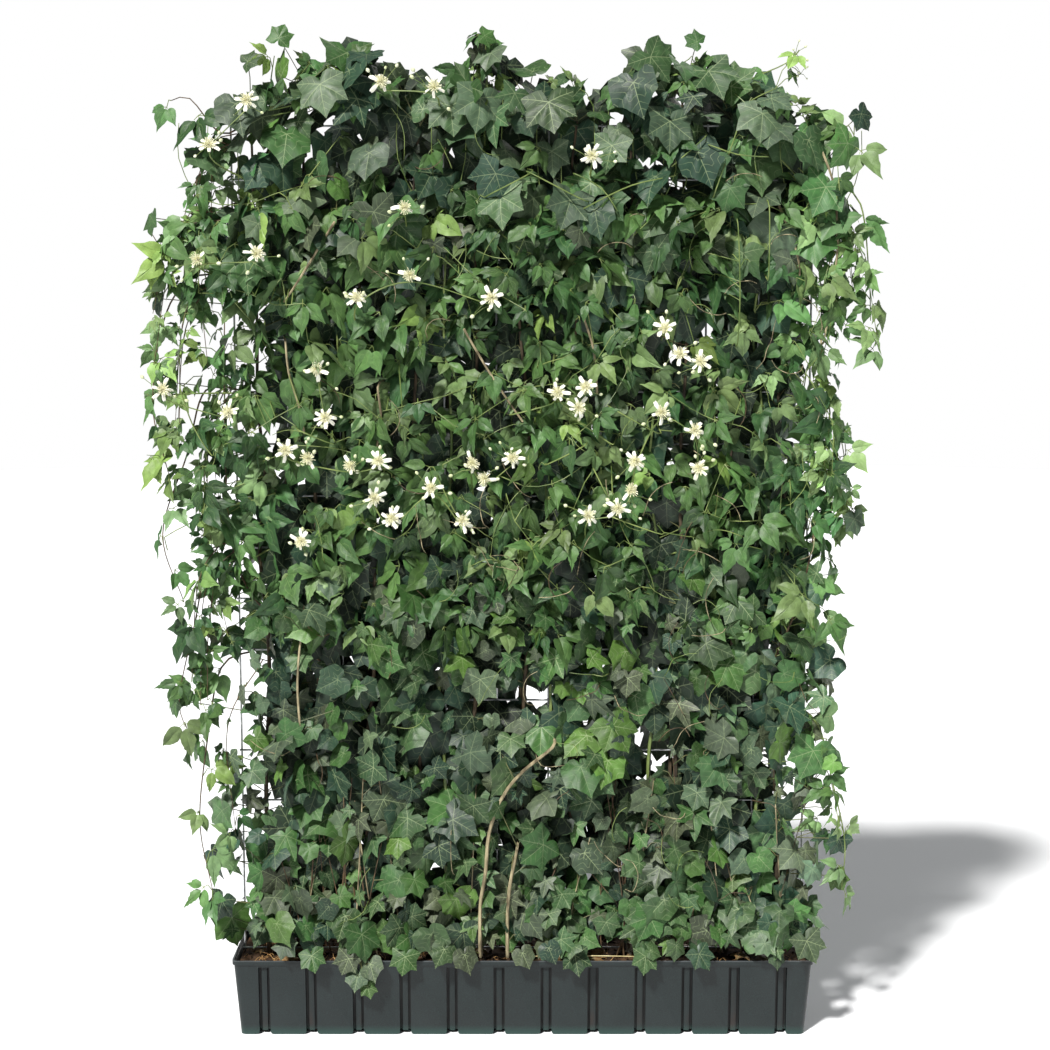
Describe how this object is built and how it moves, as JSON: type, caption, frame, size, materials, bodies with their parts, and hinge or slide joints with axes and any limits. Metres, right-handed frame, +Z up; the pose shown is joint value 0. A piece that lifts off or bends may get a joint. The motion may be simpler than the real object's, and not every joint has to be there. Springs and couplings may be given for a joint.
{
  "type": "potted ivy hedge",
  "caption": "Screen of climbing ivy and white-flowered clematis on an upright wire panel, planted in a long ribbed trough with a flat foot.",
  "frame": {"origin": "middle of the trough's flat underside", "axes": "+Z up; -Y is the flowering front of the hedge, +X along the trough to the viewer's right"},
  "size_m": [1.5006, 0.2439, 2.0513],
  "materials": {
    "trough": "satin",
    "soil": "matte",
    "wire": "satin",
    "ivy": "satin",
    "clematis": "matte",
    "petals": "matte"
  },
  "bodies": {
    "root": {"trough": "trough", "soil": "soil", "wire_panel": "wire", "ivy_front_1": "ivy", "ivy_front_2": "ivy", "ivy_front_3": "ivy", "ivy_front_4": "ivy", "ivy_front_5": "ivy", "ivy_front_6": "ivy", "ivy_front_7": "ivy", "ivy_front_8": "ivy", "ivy_front_9": "ivy", "ivy_front_10": "ivy", "ivy_front_11": "ivy", "ivy_back_1": "ivy", "ivy_back_2": "ivy", "ivy_back_3": "ivy", "ivy_back_4": "ivy", "ivy_back_5": "ivy", "ivy_back_6": "ivy", "ivy_back_7": "ivy", "clematis_vine_1": "clematis", "clematis_vine_2": "clematis", "clematis_vine_3": "clematis", "clematis_vine_4": "clematis", "clematis_vine_5": "clematis", "shoot_left_1": "clematis", "shoot_left_2": "clematis", "shoot_left_3": "clematis", "shoot_left_4": "clematis", "shoot_left_5": "clematis", "shoot_left_6": "clematis", "shoot_right_1": "clematis", "shoot_right_2": "clematis", "shoot_right_3": "clematis", "shoot_right_4": "clematis", "shoot_top_1": "clematis", "shoot_top_2": "clematis", "shoot_top_3": "clematis", "shoot_top_4": "clematis", "flower_spray_1": "petals", "flower_spray_2": "petals", "flower_spray_3": "petals", "flower_spray_4": "petals", "flower_spray_5": "petals", "flower_spray_6": "petals", "flower_spray_7": "petals", "flower_spray_8": "petals", "flower_spray_9": "petals", "flower_spray_10": "petals", "flower_spray_11": "petals", "flower_spray_12": "petals", "flower_spray_13": "petals", "flower_spray_14": "petals", "flower_spray_15": "petals", "flower_spray_16": "petals"}
  },
  "joints": []
}
